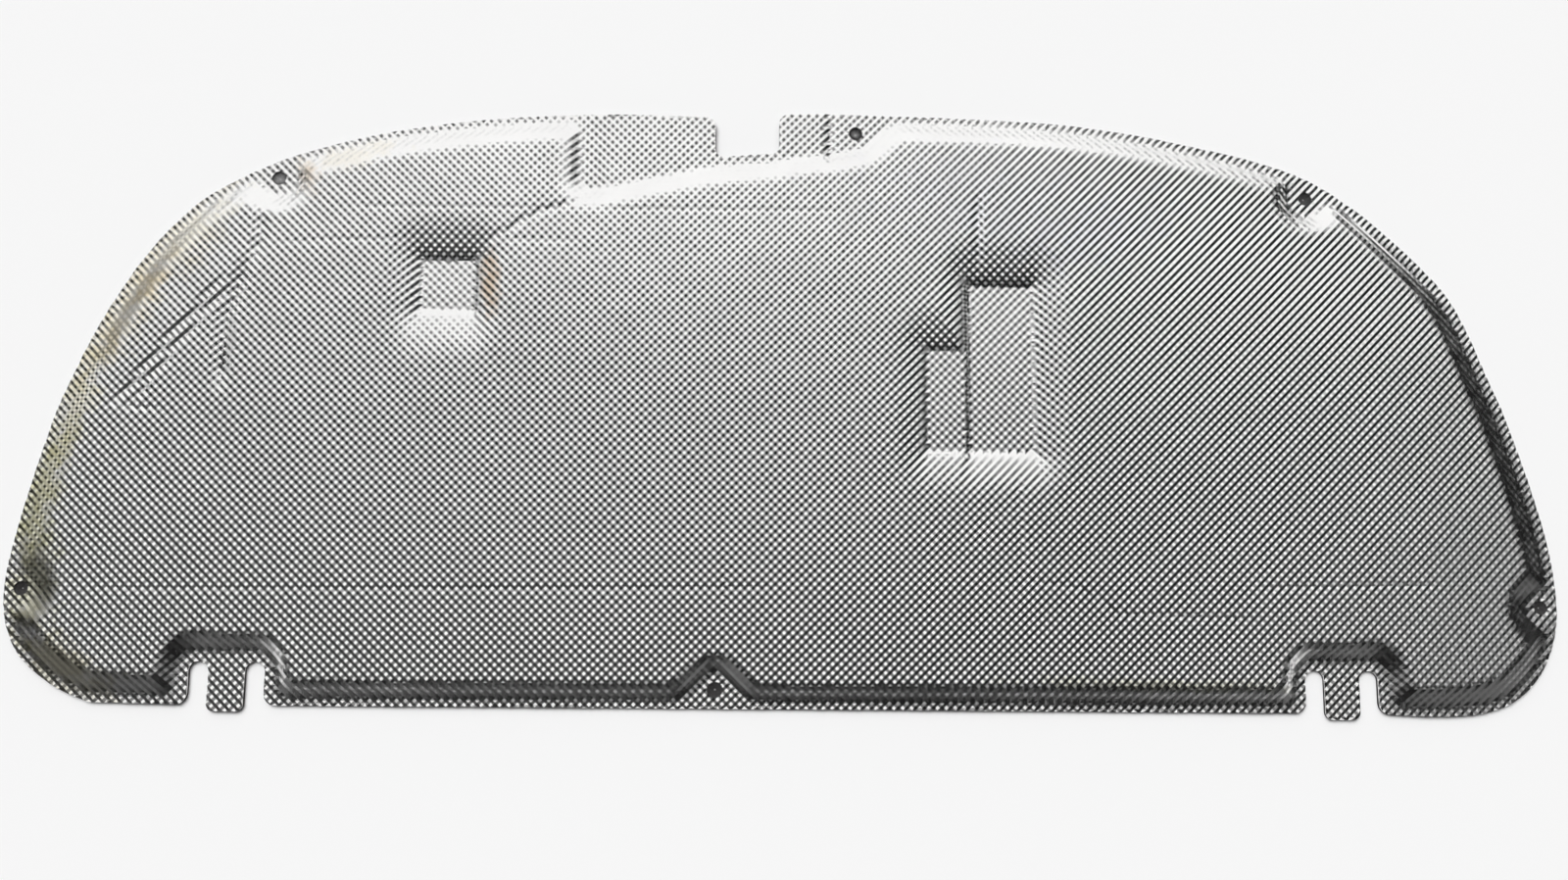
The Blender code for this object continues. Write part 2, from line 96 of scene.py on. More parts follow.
# Each pocket floor's box, its depth and the runs of its soft walls at the left, right, rear
# and front. Then how round the walls are, and the emboss left on the floor and at its foot.
POCKETS = (
    ((-0.3121, 0.0752, -0.2691, 0.1172), 0.0068, (0.036, 0.034, 0.052, 0.046)),
    ((0.1441, -0.0370, 0.1971, 0.1030), 0.0070, (0.034, 0.038, 0.046, 0.050)),
    ((0.1081, -0.0370, 0.1706, 0.0470), 0.0050, (0.034, 0.034, 0.046, 0.044)),
)
POCKET_ROUNDING = 2.6
FLOOR_EMBOSS = 0.72
FOOT_EMBOSS = 0.30
FOOT_REACH = 0.12

# Soft unevenness of the skin: wavelength and height of each layer
UNEVEN_LAYERS = (
    (0.085, 0.00030),
    (0.026, 0.00009),
)
UNEVEN_LAYER = 7.0

# Cut edge of the foil: its lip, its waviness, and a nick at x, y with depth and reach
LIP_DROP = 0.0011
EDGE_WAVE = 0.00035
EDGE_WAVE_LENGTH = 0.009
EDGE_WAVE_BIAS = 0.3
NICK = (-0.5930, -0.0066, 0.0020, 0.0040)

# Felt below the foil: how far it keeps under it at the rim and above the rim, and the grid
# and unevenness of its back
FELT_DROP = 0.0010
DEEP_DROP = 0.0019
BACK_STEP = 0.0070
BACK_CLEAR = 0.3
BACK_RISE = 0.00022
BACK_PATCH = 0.012
BACK_LAYER = 20.0

# Clip holes whose felt is drawn inwards into a dark plug with a frayed edge, painted shade that
# stands in for the shadow seen through each hole: x, y, share of the bore left open
SHADE_PLUG_HOLES = (
    (-0.4350, 0.1855, 0.06),
    (0.0482, 0.2350, 0.06),
    (0.4345, 0.1855, 0.06),
    (-0.6165, -0.1567, 0.06),
    (0.6160, -0.1600, 0.06),
    (-0.0635, -0.2317, 0.06),
)
SHADE_PLUG_SPREAD = 0.35
SHADE_PLUG_LENGTH = 0.002

# Painted shaded floor: grey spots on the felt plugs of three clip holes, standing in for the floor
# seen in shade through them: x, y, radius and level
HOLE_FLOOR_SHADE_SPOTS = (
    (-0.4358, 0.1862, 0.0062, 0.30),
    (0.0482, 0.2350, 0.0046, 0.26),
    (0.4345, 0.1855, 0.0050, 0.07),
)

# Stains on the foil: middle, half sizes, turn, tint and strength
STAINS = [
    ((-0.5150, 0.1230), (0.028, 0.080), math.radians(-40.0), (0.97, 0.93, 0.80), 0.75),
    ((-0.5560, 0.0600), (0.027, 0.080), math.radians(-30.0), (0.96, 0.91, 0.77), 0.80),
    ((-0.5860, -0.0100), (0.022, 0.080), math.radians(-18.0), (0.93, 0.90, 0.75), 0.85),
    ((-0.6050, -0.0800), (0.022, 0.075), math.radians(-12.0), (0.86, 0.85, 0.67), 1.00),
    ((-0.6060, -0.1500), (0.026, 0.070), math.radians(0.0), (0.83, 0.82, 0.67), 1.00),
    ((-0.5800, -0.2150), (0.055, 0.026), math.radians(-32.0), (0.84, 0.81, 0.67), 1.00),
    ((-0.5300, 0.0950), (0.012, 0.034), math.radians(-38.0), (0.84, 0.74, 0.60), 0.40),
    ((-0.5560, 0.0500), (0.010, 0.024), math.radians(-30.0), (0.84, 0.76, 0.60), 0.35),
    ((-0.4080, 0.1860), (0.012, 0.020), math.radians(10.0), (0.80, 0.66, 0.50), 0.55),
    ((-0.3750, 0.2050), (0.050, 0.014), math.radians(14.0), (0.98, 0.94, 0.84), 0.60),
    ((-0.2550, 0.0980), (0.010, 0.040), math.radians(4.0), (0.78, 0.62, 0.47), 0.80),
    ((0.1700, 0.1700), (0.150, 0.060), math.radians(-6.0), (0.95, 0.95, 1.00), 0.50),
    ((0.2900, -0.2240), (0.130, 0.007), math.radians(-1.0), (0.80, 0.80, 0.66), 0.70),
    ((0.2550, 0.1500), (0.090, 0.040), math.radians(20.0), (0.94, 0.94, 1.00), 0.40),
]

# Creases: points on the plan, depth, half width. A depth above zero is a valley.
CREASES = [
    ([(-0.5646, -0.1560), (-0.3969, -0.1550), (-0.2043, -0.1522), (-0.0092, -0.1494)],
     0.00030, 0.0032),
    ([(0.1805, -0.1403), (0.2329, -0.1484), (0.2627, -0.1684), (0.3793, -0.1712)], 0.00034, 0.0032),
    ([(0.3723, -0.1462), (0.5341, -0.1421)], 0.00034, 0.0030),
    ([(-0.3768, 0.1604), (-0.1755, 0.1629), (0.0448, 0.1649)], 0.00016, 0.0030),
    ([(-0.4386, 0.1284), (-0.3113, 0.1351), (-0.1746, 0.1353)], 0.00020, 0.0030),
    ([(-0.2490, 0.0456), (-0.2446, -0.0587)], 0.00038, 0.0044),
    ([(-0.2243, -0.0585), (-0.2218, -0.1213)], 0.00018, 0.0034),
    ([(-0.0595, -0.0562), (-0.0553, -0.2047)], 0.00032, 0.0040),
    ([(0.1819, -0.0449), (0.1844, -0.1481)], 0.00034, 0.0040),
    ([(0.1512, 0.1850), (0.1507, 0.1100)], 0.00120, 0.0056),
    ([(-0.4448, 0.1650), (-0.4438, 0.1325), (-0.4520, 0.1050)], 0.00160, 0.0080),
    ([(-0.4540, 0.1150), (-0.4676, 0.0663), (-0.4690, 0.0017)], 0.00220, 0.0095),
    ([(-0.4700, 0.1010), (-0.5118, 0.0493), (-0.5560, -0.0120)], 0.00140, 0.0044),
    ([(-0.4620, 0.0990), (-0.5055, 0.0425), (-0.5400, -0.0080)], 0.00125, 0.0040),
    ([(-0.5579, -0.0077), (-0.5071, -0.0133)], 0.00050, 0.0036),
    ([(-0.2629, 0.1294), (-0.2198, 0.1578), (-0.1677, 0.1757)], 0.00070, 0.0044),
    ([(0.0262, 0.2560), (0.0262, 0.1980)], 0.00170, 0.0058),
]
CREASE_TAPER = 0.020

# Foil: its two base colours, its roughness and the bump of its crinkles
FOIL_DARK = (0.905, 0.900, 0.893, 1.0)
FOIL_LIGHT = (0.955, 0.950, 0.943, 1.0)
FOIL_ROUGHNESS = (0.13, 0.24)
CRINKLE_BUMP = (0.16, 0.0003)

# Felt: the colours of its fibres and blotches, its roughness, gloss and bump
FIBRE_DARK = (0.018, 0.018, 0.020, 1.0)
FIBRE_LIGHT = (0.075, 0.073, 0.072, 1.0)
FELT_BLOTCH = (0.045, 0.042, 0.040, 1.0)
FELT_ROUGHNESS = 0.95
FELT_GLOSS = 0.2
FIBRE_BUMP = (0.8, 0.0006)

# Floor: its level, roughness, gloss, half size and how far it lies below the pad
FLOOR_LEVEL = 0.945
FLOOR_ROUGHNESS = 0.9
FLOOR_GLOSS = 0.1
FLOOR_HALF = 30.0
FLOOR_DROP = 0.0002

# Glow that the foil mirrors: azimuth and elevation of its middle, how much wider it is
# along X, and its level where the cosine of the angle from that middle has each value
GLOW_PLACE = (math.radians(-6.5), math.radians(42.5))
GLOW_WIDTH = 1.30
GLOW_LEVELS = (
    (0.000, 0.008),
    (1.000, 1.000),
    (0.300, 0.009),
    (0.423, 0.018),
    (0.500, 0.065),
    (0.565, 0.180),
    (0.620, 0.280),
    (0.686, 0.330),
    (0.760, 0.430),
    (0.800, 0.600),
    (0.845, 1.000),
)

# Where the glow ends on the right: X of its directions there, and the level past it
GLOW_END = (0.60, 0.74)
GLOW_REST = 0.010

# Dim glow behind the rear left corner: its place, the cosines between which it grows, and
# its level
DIM_PLACE = (math.radians(-160.0), math.radians(24.0))
DIM_RANGE = (0.78, 0.97)
DIM_LEVEL = 0.055

# Paler low beyond the rear edge: how far back it starts, and its level at each height
REAR_FROM = (0.10, 0.40)
REAR_LEVELS = (
    (0.00, 0.50),
    (1.00, 0.00),
    (0.22, 0.45),
    (0.28, 0.14),
    (0.35, 0.05),
    (0.55, 0.02),
)

# The same beyond the rear corners, from this far out along X
CORNER_FROM = (0.30, 0.55)
CORNER_LEVELS = (
    (0.00, 0.50),
    (1.00, 0.00),
    (0.22, 0.45),
    (0.30, 0.12),
    (0.62, 0.12),
    (0.76, 0.01),
)

# Pale surroundings low all round: their level, and the heights, as sines, between which
# they fade
PALE_LEVEL = 0.93
HORIZON_BAND = (0.115, 0.160)

# Fill light: azimuth and elevation, strength and spread
FILL_PLACE = (math.radians(-30.0), math.radians(55.0))
FILL_STRENGTH = 2.27
FILL_SPREAD = math.radians(40.0)

# Camera, as the photograph's perspective gives it
CAMERA_PLACE = (-0.0359, -0.1430, 0.9289)
CAMERA_TURN = (math.radians(6.985), math.radians(-1.668), math.radians(0.615))
CAMERA_LENS = 26.0
CAMERA_SENSOR = 36.0


def own_collection(name):
    """Make a collection in the scene."""
    group = bpy.data.collections.new(name)
    bpy.context.scene.collection.children.link(group)
    return group


def merged_copy(node):
    """The node's mesh as a bmesh whose triangles share their corners."""
    mesh = bmesh.new()
    mesh.from_mesh(node.data)
    bmesh.ops.remove_doubles(mesh, verts=mesh.verts, dist=MERGE)
    mesh.normal_update()
    return mesh


def rim_loops(mesh):
    """Outline and hole loops of the pad's face, longest first, as arrays of x, y, z."""
    links = {}
    for edge in mesh.edges:
        lifts = sorted(face.normal.z for face in edge.link_faces)
        if len(lifts) == 2 and abs(lifts[0]) < WALL_LIFT and lifts[1] > FACE_LIFT:
            first, second = edge.verts
            links.setdefault(first, []).append(second)
            links.setdefault(second, []).append(first)
    loops = []
    walked = set()
    for start in sorted(links, key=lambda vertex: (vertex.co.x, vertex.co.y)):
        if start in walked:
            continue
        walk = []
        ahead = [start]
        while ahead:
            here = max(ahead, key=lambda vertex: vertex.co.y)
            walked.add(here)
            walk.append(tuple(here.co))
            ahead = [vertex for vertex in links[here] if vertex not in walked]
        loops.append(np.array(walk))
    return sorted(loops, key=len, reverse=True)


def stepped(loop, step):
    """Loop with extra points on its long runs, so that no run is longer than a step."""
    points = []
    for start, end in zip(loop, np.roll(loop, -1, axis=0)):
        count = max(1, math.ceil(np.linalg.norm(end - start) / step))
        points.extend(start + (end - start) * k / count for k in range(count))
    return np.array(points)


def signed_distance(points, loop):
    """Distance from each point to a closed loop, positive inside it."""
    nearest = np.full(len(points), np.inf)
    inside = np.zeros(len(points), dtype=bool)
    for start, end in zip(loop, np.roll(loop, -1, axis=0)):
        run = end - start
        share = np.clip((points - start) @ run / (run @ run), 0.0, 1.0)
        gap = points - start - share[:, None] * run
        nearest = np.minimum(nearest, np.einsum("ij,ij->i", gap, gap))
        crosses = (start[1] > points[:, 1]) != (end[1] > points[:, 1])
        if run[1] != 0.0:
            x_cross = start[0] + (points[:, 1] - start[1]) * run[0] / run[1]
            inside ^= crosses & (points[:, 0] < x_cross)
    return np.where(inside, 1.0, -1.0) * np.sqrt(nearest)


def clear_of_loops(points, loops, clearance):
    """Which points of the plan lie inside the outline and off the holes by a clearance."""
    clear = signed_distance(points, loops[0]) > clearance
    for loop in loops[1:]:
        clear &= signed_distance(points, loop) < -clearance
    return clear


def cut_edge(loop):
    """The foil's cut edge: the outline with slight waves inwards and the nick."""
    plan = loop[:, :2]
    along = np.roll(plan, -1, axis=0) - np.roll(plan, 1, axis=0)
    inward = np.column_stack([-along[:, 1], along[:, 0]])
    inward /= np.linalg.norm(inward, axis=1)[:, None]
    inward *= np.sign(signed_distance(plan + inward * EDGE_CLEAR, plan))[:, None]
    waves = np.array([noise.noise(Vector((x, y, 0.0)) / EDGE_WAVE_LENGTH) for x, y in plan])
    depth = EDGE_WAVE * np.clip(waves + EDGE_WAVE_BIAS, 0.0, 1.0)
    x, y, nick_depth, nick_reach = NICK
    gap = np.hypot(plan[:, 0] - x, plan[:, 1] - y)
    depth += nick_depth * np.clip(1.0 - gap / nick_reach, 0.0, 1.0)
    return np.column_stack([plan + inward * depth[:, None], loop[:, 2]])


def lattice(loops, cuts):
    """Plan of the lattice's nodes as a square grid of x, y, and which of them are used."""
    reach = math.ceil(np.abs(loops[0]).max() * math.sqrt(2.0) / NODE_STEP)
    steps = np.arange(-reach, reach + 1)
    along, across = np.meshgrid(steps, steps, indexing="ij")
    plan = to_plan(along * NODE_STEP, across * NODE_STEP)
    box_low = loops[0].min(axis=0)
    box_high = loops[0].max(axis=0)
    used = np.all((plan > box_low) & (plan < box_high), axis=2)
    used[used] = clear_of_loops(plan[used], loops, EDGE_CLEAR)
    nick_x, nick_y, _, nick_reach = NICK
    near_nick = used & (np.hypot(plan[..., 0] - nick_x, plan[..., 1] - nick_y) < 2.0 * nick_reach)
    used[near_nick] = clear_of_loops(plan[near_nick], cuts, EDGE_CLEAR)
    return plan, used


def to_plan(along, across):
    """Plan x, y of places on the lattice's axes."""
    cos, sin = math.cos(EMBOSS_TURN), math.sin(EMBOSS_TURN)
    return np.stack([along * cos - across * sin, along * sin + across * cos], axis=-1)


def to_lattice(plan):
    """Places on the lattice's axes of plan x, y."""
    cos, sin = math.cos(EMBOSS_TURN), math.sin(EMBOSS_TURN)
    return plan[..., 0] * cos + plan[..., 1] * sin, plan[..., 1] * cos - plan[..., 0] * sin


def neighbour_mean(values, used):
    """Mean of each grid value and its used neighbours."""
    total = np.where(used, values, 0.0)
    count = used.astype(float)
    shifted_total = total.copy()
    shifted_count = count.copy()
    for axis in (0, 1):
        for step in (-1, 1):
            shifted_total += np.roll(total, step, axis=axis)
            shifted_count += np.roll(count, step, axis=axis)
    return shifted_total / np.maximum(shifted_count, 1.0)


def ramp(values, low, high):
    """Values as shares of the way from a low to a high end, which may lie below it."""
    return np.clip((values - low) / (high - low), 0.0, 1.0)


def without_pockets(heights, plan, used):
    """Heights with the CAD's pockets filled level with the field round them."""
    for low_x, low_y, high_x, high_y in POCKET_BOXES:
        x, y = plan[..., 0], plan[..., 1]
        out = np.maximum.reduce([low_x - x, x - high_x, low_y - y, y - high_y])
        terms = np.stack([np.ones_like(x), x, y, x * x, x * y, y * y], axis=-1)
        ring = used & (out >= 0.0) & (out < POCKET_RING)
        inside = used & (out < 0.0)
        fit = np.linalg.lstsq(terms[ring], heights[ring], rcond=None)[0]
        heights[inside] = terms[inside] @ fit
    return heights


def even_walls(heights, plan):
    """Heights with the walls at the sides and the rear climbing evenly."""
    climb = np.clip((heights - RIM_HEIGHT) / WALL_RISE, 0.0, 1.0)
    run = 1.0 - np.sqrt(1.0 - climb)
    side = ramp(np.abs(plan[..., 0]), *SIDE_FROM)
    reach = WALL_REACH[0] + (WALL_REACH[1] - WALL_REACH[0]) * side
    even = np.minimum(run / reach, 1.0)
    share = 1.0 - ramp(plan[..., 1], *PLAIN_FROM)
    sag = SIDE_SAG * side
    return heights + share * (WALL_RISE * (even - climb) - sag * even)


def slackness(plan):
    """How far the left side has sagged at places of the plan, from 0 to 1."""
    x, y = plan[..., 0], plan[..., 1]
    return ramp(x, *SLACK_X) * ramp(y, *SLACK_FRONT) * ramp(y, *SLACK_REAR)


def slackened(heights, plan, used, outline):
    """Heights whose left wall has sagged into a broad soft slope."""
    pull = slackness(plan) * used
    near = pull > 0.0
    pull[near] *= ramp(signed_distance(plan[near], outline), *SLACK_CLEAR)
    for _ in range(SLACK_ROUNDS):
        heights = heights + pull * (neighbour_mean(heights, used) - heights)
    return heights


def pocket_drop(plan):
    """How far the pockets sink the skin at places of the plan, and what emboss they leave."""
    drop = np.zeros(len(plan))
    left = np.ones(len(plan))
    for (low_x, low_y, high_x, high_y), depth, runs in POCKETS:
        run_left, run_right, run_rear, run_front = runs
        across = np.maximum((low_x - plan[:, 0]) / run_left, (plan[:, 0] - high_x) / run_right)
        along = np.maximum((low_y - plan[:, 1]) / run_rear, (plan[:, 1] - high_y) / run_front)
        share = np.hypot(np.maximum(across, 0.0), np.maximum(along, 0.0))
        own = depth * np.clip(1.0 - share, 0.0, 1.0) ** POCKET_ROUNDING
        flat = np.where(share > 0.0, 1.0, FLOOR_EMBOSS)
        foot = np.clip(1.0 - share / FOOT_REACH, 0.0, 1.0) * (share > 0.0)
        flat = flat - (1.0 - FOOT_EMBOSS) * foot
        left = np.where(own > drop, flat, left)
        drop = np.maximum(drop, own)
    return drop, left


def eased_heights(heights, used):
    """Heights with rounded walls and a field without facets, and which nodes are on walls."""
    for _ in range(WALL_ROUNDS):
        heights = np.where(used, neighbour_mean(heights, used), heights)
    steep = np.zeros_like(used)
    for axis in (0, 1):
        rise = np.abs(np.roll(heights, -1, axis=axis) - heights)
        steep |= used & np.roll(used, -1, axis=axis) & (rise > STEEP_SLOPE * NODE_STEP)
    near = steep
    for _ in range(STEEP_REACH):
        for axis in (0, 1):
            near = near | np.roll(near, 1, axis=axis) | np.roll(near, -1, axis=axis)
    free = used & ~near
    for _ in range(FIELD_ROUNDS):
        heights = np.where(free, neighbour_mean(heights, used), heights)
    wall = steep.astype(float)
    for _ in range(WALL_ROUNDS):
        wall = np.where(used, neighbour_mean(wall, used), wall)
    return heights, wall


def layer_noise(plan, length, layer):
    """Smooth noise at places of the plan, from one of its layers."""
    return np.array([noise.noise(Vector((x / length, y / length, layer))) for x, y in plan])


def emboss(plan):
    """Height of the emboss at places of the plan."""
    along, across = to_lattice(plan)
    turn = 2.0 * math.pi / EMBOSS_SIDE
    spread = layer_noise(plan, EMBOSS_PATCH, EMBOSS_LAYER)
    waves = np.cos(turn * along) + np.cos(turn * across)
    return EMBOSS_RISE * (1.0 + EMBOSS_SPREAD * spread) * waves


def unevenness(plan):
    """Slow waves of the skin at places of the plan."""
    total = np.zeros(len(plan))
    for k, (length, height) in enumerate(UNEVEN_LAYERS):
        total += height * layer_noise(plan, length, UNEVEN_LAYER * k)
    return total


def crease_drop(plan):
    """How far the creases sink the skin at places of the plan."""
    drop = np.zeros(len(plan))
    for points, depth, half_width in CREASES:
        line = np.array(points)
        lengths = np.linalg.norm(np.diff(line, axis=0), axis=1)
        whole = lengths.sum()
        passed = 0.0
        nearest = np.full(len(plan), np.inf)
        reached = np.zeros(len(plan))
        for start, end, length in zip(line[:-1], line[1:], lengths):
            run = end - start
            share = np.clip((plan - start) @ run / length ** 2, 0.0, 1.0)
            gap = np.linalg.norm(plan - start - share[:, None] * run, axis=1)
            closer = gap < nearest
            nearest = np.where(closer, gap, nearest)
            reached = np.where(closer, passed + share * length, reached)
            passed += length
        taper = np.clip(np.minimum(reached, whole - reached) / CREASE_TAPER, 0.0, 1.0)
        drop += depth * taper * np.clip(1.0 - nearest / half_width, 0.0, 1.0)
    return drop


def add_skin(mesh, places, heights, loops):
    """Add a triangulated skin inside an outline and round holes, whose points come last."""
    inner_count = len(places) - sum(len(loop) for loop in loops)
    links = []
    first = inner_count
    for loop in loops:
        count = len(loop)
        links.extend((first + k, first + (k + 1) % count) for k in range(count))
        first += count
    points = [Vector(place) for place in places]
    _, _, faces, origins, _, _ = delaunay_2d_cdt(points, links, [], 0, MERGE)
    source = np.array([origin[0] for origin in origins])
    corners = source[np.array(faces)]
    unsure = (corners >= inner_count).all(axis=1)
    kept = ~unsure
    kept[unsure] = clear_of_loops(places[corners[unsure]].mean(axis=1), loops, 0.0)
    vertices = {}
    for face in corners[kept]:
        for k in face:
            if k not in vertices:
                vertices[k] = mesh.verts.new((*places[k], heights[k]))
        mesh.faces.new([vertices[k] for k in face])


def wall_emboss(plan):
    """Share of the emboss that walls keep: least at the sides, nearly all where it's slack."""
    kept = WALL_EMBOSS + (FRONT_EMBOSS - WALL_EMBOSS) * ramp(plan[..., 1], *FRONT_FROM)
    side = ramp(np.abs(plan[..., 0]), *SIDE_FROM) * ramp(plan[..., 1], *SIDE_PAST)
    kept = kept + (SIDE_EMBOSS - kept) * side
    return kept + (SLACK_EMBOSS - kept) * slackness(plan)


def foil_mesh(cad, loops):
    """The foil as one open skin whose facets follow the emboss, with a lip at its cuts."""
    edges = [cut_edge(stepped(loops[0], NODE_STEP))]
    edges += [stepped(loop, NODE_STEP) for loop in loops[1:]]
    plan, used = lattice([loop[:, :2] for loop in loops], [edge[:, :2] for edge in edges])
    tree = BVHTree.FromBMesh(cad)
    heights = np.zeros(used.shape)
    down = Vector((0.0, 0.0, -1.0))
    heights[used] = [tree.ray_cast(Vector((x, y, 1.0)), down)[0].z for x, y in plan[used]]
    heights = even_walls(without_pockets(heights, plan, used), plan)
    heights = slackened(heights, plan, used, loops[0][:, :2])
    heights, wall = eased_heights(heights, used)
    kept = 1.0 - (1.0 - wall_emboss(plan[used])) * wall[used]
    flattened = np.concatenate([kept] + [np.ones(len(edge)) for edge in edges])
    places = np.vstack([plan[used]] + [edge[:, :2] for edge in edges])
    base = np.concatenate([heights[used]] + [edge[:, 2] for edge in edges])
    drop, left = pocket_drop(places)
    raised = base + unevenness(places) + left * flattened * emboss(places)
    mesh = bmesh.new()
    add_skin(mesh, places, raised - crease_drop(places) - drop, [edge[:, :2] for edge in edges])
    rim = [edge for edge in mesh.edges if edge.is_boundary]
    lip = bmesh.ops.extrude_edge_only(mesh, edges=rim)["geom"]
    for vertex in (item for item in lip if isinstance(item, bmesh.types.BMVert)):
        vertex.co.z -= LIP_DROP
    bmesh.ops.recalc_face_normals(mesh, faces=mesh.faces)
    return mesh


def into_shade_plug(x, y):
    """Place where a point at the foot of a clip hole's wall ends up as the felt is drawn in: a dark
    plug with a frayed edge that nearly closes the hole, painted shade standing in for the shadow
    seen through it.
    """
    nearest = min(SHADE_PLUG_HOLES, key=lambda hole: math.hypot(x - hole[0], y - hole[1]))
    middle_x, middle_y, share = nearest
    share *= 1.0 + SHADE_PLUG_SPREAD * noise.noise(Vector((x, y, 0.0)) / SHADE_PLUG_LENGTH)
    return middle_x + share * (x - middle_x), middle_y + share * (y - middle_y)


def felt_mesh(cad, loops, foil):
    """The felt as a closed body just under the foil, with an uneven back."""
    mesh = cad.copy()
    back = [face for face in mesh.faces if face.normal.z < -FACE_LIFT]
    bmesh.ops.delete(mesh, geom=back, context="FACES")
    cover = BVHTree.FromBMesh(foil)
    down = Vector((0.0, 0.0, -1.0))
    holes = [loop[:, :2] for loop in loops[1:]]
    # Foot points of the clip holes' walls are drawn in with the felt into dark plugs that nearly
    # close the holes: painted shade in place of the shadow seen through them.
    for vertex in mesh.verts:
        x, y, z = vertex.co
        if z > LIP_DROP:
            hit = cover.ray_cast(Vector((x, y, 1.0)), down)[0]
            low = min(z, hit.z if hit else z)
            vertex.co.z = low - (FELT_DROP if z < RIM_HEIGHT + MERGE else DEEP_DROP)
        elif min(np.hypot(hole[:, 0] - x, hole[:, 1] - y).min() for hole in holes) < MERGE:
            vertex.co.x, vertex.co.y = into_shade_plug(x, y)
    flat = [loops[0][:, :2]] + [np.array([into_shade_plug(x, y) for x, y in hole]) for hole in holes]
    low = flat[0].min(axis=0)
    high = flat[0].max(axis=0)
    xs = np.arange(low[0], high[0], BACK_STEP)
    ys = np.arange(low[1], high[1], BACK_STEP)
    grid = np.array([(x, y) for x in xs for y in ys])
    grid = grid[clear_of_loops(grid, flat, BACK_CLEAR * BACK_STEP)]
    places = np.vstack([grid] + flat)
    lifts = np.maximum(0.0, layer_noise(places, BACK_PATCH, BACK_LAYER))
    lifts[len(grid):] = 0.0
    add_skin(mesh, places, BACK_RISE * lifts, flat)
    bmesh.ops.remove_doubles(mesh, verts=mesh.verts, dist=MERGE)
    bmesh.ops.recalc_face_normals(mesh, faces=mesh.faces)
    return mesh


def new_piece(name, mesh, material, group):
    """Object from a mesh, which it frees, in a collection."""
    data = bpy.data.meshes.new(name)
    mesh.to_mesh(data)
    mesh.free()
    data.materials.append(material)
    piece = bpy.data.objects.new(name, data)
    group.objects.link(piece)
    return piece


def grey(level):
    """Opaque grey of a level."""
    return (level, level, level, 1.0)


class Nodes:
    """Short calls for building a node tree."""

    def __init__(self, tree):
        self.tree = tree

    def add(self, kind, inputs=None, **settings):
        node = self.tree.nodes.new(kind)
        for name, value in settings.items():
            setattr(node, name, value)
        for name, value in (inputs or {}).items():
            if isinstance(value, bpy.types.NodeSocket):
                self.tree.links.new(value, node.inputs[name])
            else:
                node.inputs[name].default_value = value
        return node

    def noise(self, place, scale, detail=2.0, roughness=0.5):
        return self.add("ShaderNodeTexNoise", {
            "Vector": place, "Scale": scale,
            "Detail": detail, "Roughness": roughness}).outputs["Fac"]

    def spread(self, value, low, high, to_low=0.0, to_high=1.0):
        return self.add("ShaderNodeMapRange", {
            "Value": value, "From Min": low, "From Max": high,
            "To Min": to_low, "To Max": to_high}).outputs["Result"]

    def vector_math(self, operation, first, second=(0.0, 0.0, 0.0)):
        node = self.add("ShaderNodeVectorMath", {0: first, 1: second}, operation=operation)
        return node.outputs

    def vector(self, operation, first, second=(0.0, 0.0, 0.0)):
        return self.vector_math(operation, first, second)["Vector"]

    def levels(self, value, levels):
        """Grey that follows a value through the given stops."""
        shade = self.add("ShaderNodeValToRGB", {0: value})
        stops = shade.color_ramp.elements
        for k, (place, level) in enumerate(levels):
            stop = stops[k] if k < 2 else stops.new(place)
            stop.position = place
            stop.color = grey(level)
        return shade.outputs["Color"]

    def nearness(self, direction, middle):
        return self.vector_math("DOT_PRODUCT", direction, middle)["Value"]

    def bump(self, height, strength, distance):
        return self.add("ShaderNodeBump", {
            "Strength": strength, "Distance": distance, "Height": height}).outputs["Normal"]

    def math(self, operation, first, second):
        return self.add("ShaderNodeMath", {0: first, 1: second}, operation=operation).outputs[0]

    def tinted(self, share, base, tint):
        return self.mix(share, base, tint, "MULTIPLY")

    def mix(self, share, first, second, blend="MIX"):
        node = self.add("ShaderNodeMix", data_type="RGBA", blend_type=blend)
        for name, value in (("Factor", share), ("A", first), ("B", second)):
            socket = next(s for s in node.inputs if s.name == name and s.enabled)
            if isinstance(value, bpy.types.NodeSocket):
                self.tree.links.new(value, socket)
            else:
                socket.default_value = value
        return next(s for s in node.outputs if s.enabled)


def new_material(name):
    """Material with a principled shader, its nodes and its object coordinates."""
    material = bpy.data.materials.new(name)
    material.use_nodes = True
    nodes = Nodes(material.node_tree)
    shader = material.node_tree.nodes["Principled BSDF"]
    place = nodes.add("ShaderNodeTexCoord").outputs["Object"]
    return material, nodes, shader, place


def stain_mask(nodes, place, middle, half_sizes, turn):
    """Soft oval with a ragged edge: 1 in its middle and 0 outside it."""
    oval = nodes.add("ShaderNodeMapping", {
        "Vector": place, "Location": (*middle, 0.0), "Rotation": (0.0, 0.0, turn),
        "Scale": (*half_sizes, 1.0)}, vector_type="TEXTURE")
    flat = nodes.vector("MULTIPLY", oval.outputs[0], (1.0, 1.0, 0.0))
    reach = nodes.vector_math("LENGTH", flat)["Value"]
    ragged = nodes.spread(nodes.noise(place, 75.0, 3.0, 0.6), 0.25, 0.75, -0.45, 0.45)
    return nodes.spread(nodes.math("ADD", reach, ragged), 1.0, 0.25)


